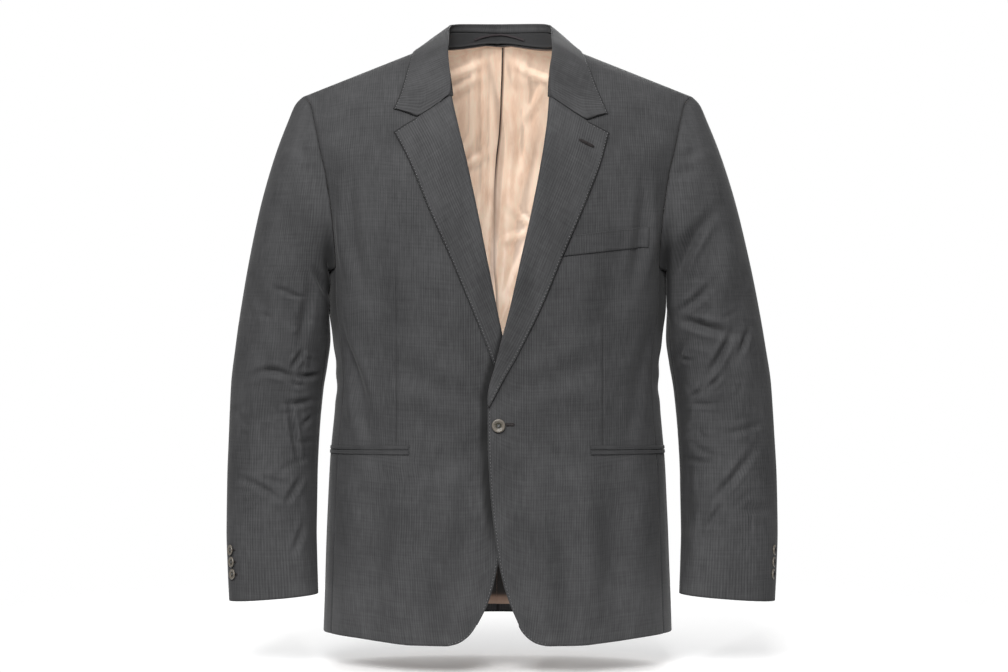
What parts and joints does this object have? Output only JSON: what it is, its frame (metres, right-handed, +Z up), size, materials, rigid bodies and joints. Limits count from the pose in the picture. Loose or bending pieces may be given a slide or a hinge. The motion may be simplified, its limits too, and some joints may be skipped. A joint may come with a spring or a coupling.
{
  "type": "suit jacket",
  "caption": "Men's single-breasted suit jacket with notch lapels, filled out as if worn, with long sleeves, jetted hip pockets and a breast welt",
  "frame": {"origin": "Midway between the shoulders, at the height of the neck ends of the shoulder seams, in the middle of the body front to back", "axes": "+Z up along the wearer's height, -Y to the wearer's front, +X to the wearer's left"},
  "size_m": [0.7067, 0.2626, 0.8013],
  "materials": {
    "suiting": "fine striped charcoal wool and mohair, matt with a slight sheen",
    "tape": "narrow dark plum tape",
    "lining": "champagne satin",
    "button": "polished grey-brown horn"
  },
  "bodies": {
    "root": {"front_left": "suiting", "front_right": "suiting", "side_left": "suiting", "side_right": "suiting", "back_left": "suiting", "back_right": "suiting", "top_sleeve_left": "suiting", "top_sleeve_right": "suiting", "under_sleeve_left": "suiting", "under_sleeve_right": "suiting", "lapel_left": "suiting", "lapel_right": "suiting", "collar_leaf": "suiting", "collar_stand": "suiting", "breast_welt": "suiting", "pocket_jet_upper_left": "suiting", "pocket_jet_lower_left": "suiting", "pocket_jet_upper_right": "suiting", "pocket_jet_lower_right": "suiting", "hanger_loop": "tape", "lining_left": "lining", "lining_right": "lining", "front_button": "button", "cuff_button_left_1": "button", "cuff_button_left_2": "button", "cuff_button_left_3": "button", "cuff_button_right_1": "button", "cuff_button_right_2": "button", "cuff_button_right_3": "button"}
  },
  "joints": []
}
